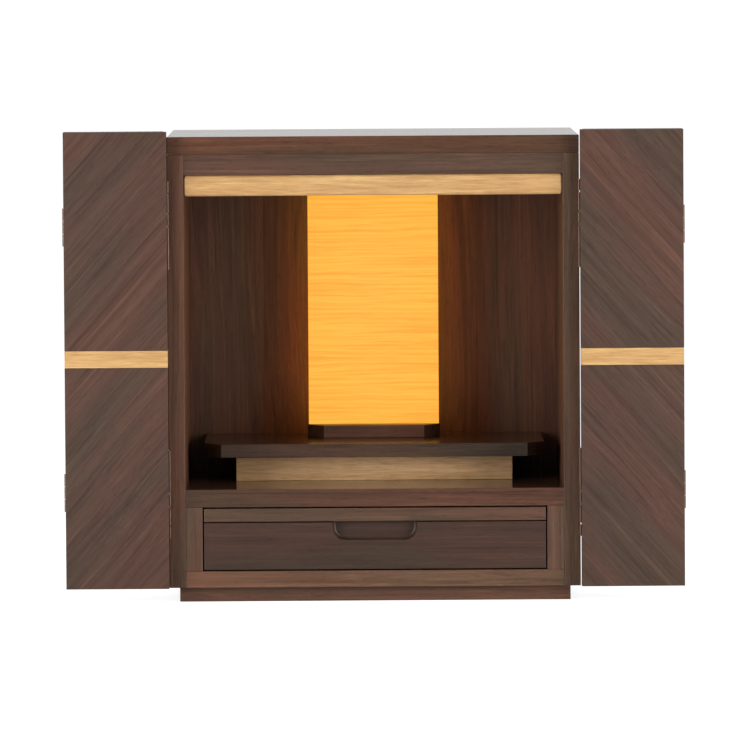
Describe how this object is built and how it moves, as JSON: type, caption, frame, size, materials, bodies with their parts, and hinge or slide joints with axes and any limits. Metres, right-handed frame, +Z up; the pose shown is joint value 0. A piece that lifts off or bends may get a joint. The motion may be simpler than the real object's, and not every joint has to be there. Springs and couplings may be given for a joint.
{
  "type": "household altar cabinet",
  "caption": "Walnut altar cabinet with bi-fold doors, a platform before a glowing panel, a pull-out shelf and a drawer.",
  "frame": {"origin": "middle of the cabinet's footprint with its doors folded open, on the surface it stands on", "axes": "+X to the cabinet's right as seen from the front, +Y from front to back, +Z up"},
  "size_m": [0.6796, 0.338, 0.5155],
  "materials": {
    "walnut": "matt lacquered walnut, greyish brown",
    "dark_walnut": "matt lacquered dark walnut",
    "oak": "pale natural oak, matt lacquered",
    "drawer_box_wood": "plain pale wood, unvarnished",
    "glowing_panel": "translucent amber panel with fine wavy grain, lit from inside",
    "hinge_bronze": "dark bronzed brass, satin"
  },
  "bodies": {
    "cabinet": {"plinth_front": "walnut", "plinth_back": "walnut", "plinth_left": "walnut", "plinth_right": "walnut", "top_board": "walnut", "bottom_board": "walnut", "altar_floor": "walnut", "back_panel": "dark_walnut", "head_rail": "walnut", "oak_rail": "oak", "side_panel_left": "walnut", "side_panel_right": "walnut", "bay_cheek_left": "walnut", "bay_cheek_right": "walnut", "platform_block": "oak", "platform_board": "walnut", "lamp_base": "dark_walnut", "lamp_panel": "glowing_panel", "case_hinge_left_upper_case_half": "hinge_bronze", "case_hinge_left_lower_case_half": "hinge_bronze", "case_hinge_right_upper_case_half": "hinge_bronze", "case_hinge_right_lower_case_half": "hinge_bronze"},
    "left_outer_leaf": {"door_left_outer_lower_board": "walnut", "door_left_outer_oak_band": "oak", "door_left_outer_upper_board": "walnut", "case_hinge_left_upper_leaf_half": "hinge_bronze", "case_hinge_left_lower_leaf_half": "hinge_bronze", "fold_hinge_left_upper_outer_half": "hinge_bronze", "fold_hinge_left_lower_outer_half": "hinge_bronze"},
    "left_inner_leaf": {"door_left_inner_lower_board": "walnut", "door_left_inner_oak_band": "oak", "door_left_inner_upper_board": "walnut", "fold_hinge_left_upper_inner_half": "hinge_bronze", "fold_hinge_left_lower_inner_half": "hinge_bronze"},
    "right_outer_leaf": {"door_right_outer_lower_board": "walnut", "door_right_outer_oak_band": "oak", "door_right_outer_upper_board": "walnut", "case_hinge_right_upper_leaf_half": "hinge_bronze", "case_hinge_right_lower_leaf_half": "hinge_bronze", "fold_hinge_right_upper_outer_half": "hinge_bronze", "fold_hinge_right_lower_outer_half": "hinge_bronze"},
    "right_inner_leaf": {"door_right_inner_lower_board": "walnut", "door_right_inner_oak_band": "oak", "door_right_inner_upper_board": "walnut", "fold_hinge_right_upper_inner_half": "hinge_bronze", "fold_hinge_right_lower_inner_half": "hinge_bronze"},
    "drawer": {"drawer_front": "dark_walnut", "drawer_side_left": "drawer_box_wood", "drawer_side_right": "drawer_box_wood", "drawer_bottom": "drawer_box_wood", "drawer_back": "drawer_box_wood"},
    "pull_shelf": {"pull_shelf": "walnut"}
  },
  "joints": [
    {"name": "left_door_hinge", "type": "hinge", "parent": "cabinet", "child": "left_outer_leaf", "pos_m": [-0.2241, -0.1602, 0.266], "axis": [0, 0, -1], "range_deg": [-180, 0]},
    {"name": "left_door_fold", "type": "hinge", "parent": "left_outer_leaf", "child": "left_inner_leaf", "pos_m": [-0.3378, -0.151, 0.266], "axis": [0, 0, -1], "range_deg": [-180, 0]},
    {"name": "right_door_hinge", "type": "hinge", "parent": "cabinet", "child": "right_outer_leaf", "pos_m": [0.22495, -0.1602, 0.266], "axis": [0, 0, 1], "range_deg": [-180, 0]},
    {"name": "right_door_fold", "type": "hinge", "parent": "right_outer_leaf", "child": "right_inner_leaf", "pos_m": [0.33865, -0.151, 0.266], "axis": [0, 0, 1], "range_deg": [-180, 0]},
    {"name": "drawer_slide", "type": "slide", "parent": "cabinet", "child": "drawer", "axis": [0, -1, 0], "range_m": [0, 0.2]},
    {"name": "shelf_slide", "type": "slide", "parent": "cabinet", "child": "pull_shelf", "axis": [0, -1, 0], "range_m": [0, 0.2]}
  ]
}
